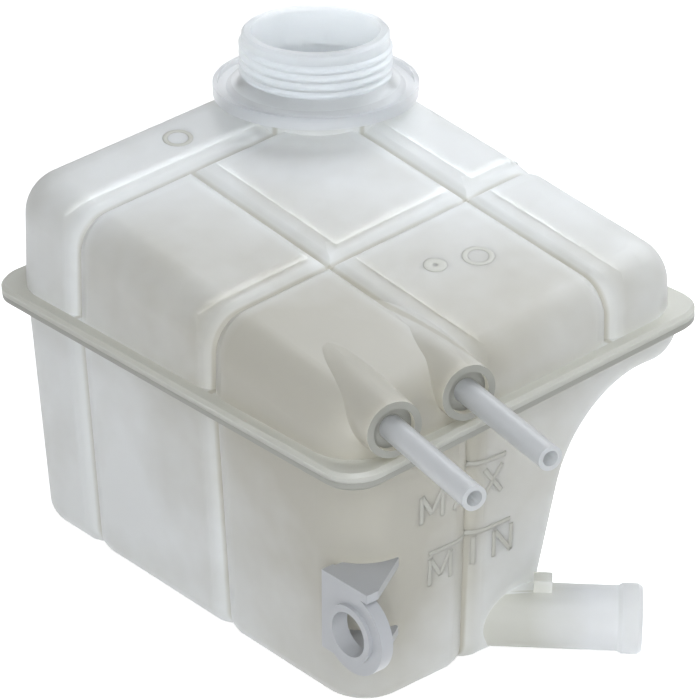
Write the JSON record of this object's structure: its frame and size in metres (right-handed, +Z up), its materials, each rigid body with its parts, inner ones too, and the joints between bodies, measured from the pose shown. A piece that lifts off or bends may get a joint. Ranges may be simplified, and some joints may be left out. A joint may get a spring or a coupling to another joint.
{
  "type": "coolant expansion tank",
  "caption": "Two-half moulded coolant expansion tank with a wide filler neck, hose nipples, an angled outlet spigot, a mounting lug and quilted, grooved walls around a hollow chamber.",
  "frame": {"origin": "bottom centre of the tank's box, on the plane that its base rests on", "axes": "+Z up along the filler neck, -Y the front with the hose nipples and the level marks, +X towards the overhanging side"},
  "size_m": [0.1669, 0.2532, 0.1755],
  "materials": {
    "natural_polypropylene": "moulded, satin, slightly translucent off-white"
  },
  "bodies": {
    "root": {"upper_shell": "natural_polypropylene", "lower_shell": "natural_polypropylene"}
  },
  "joints": []
}
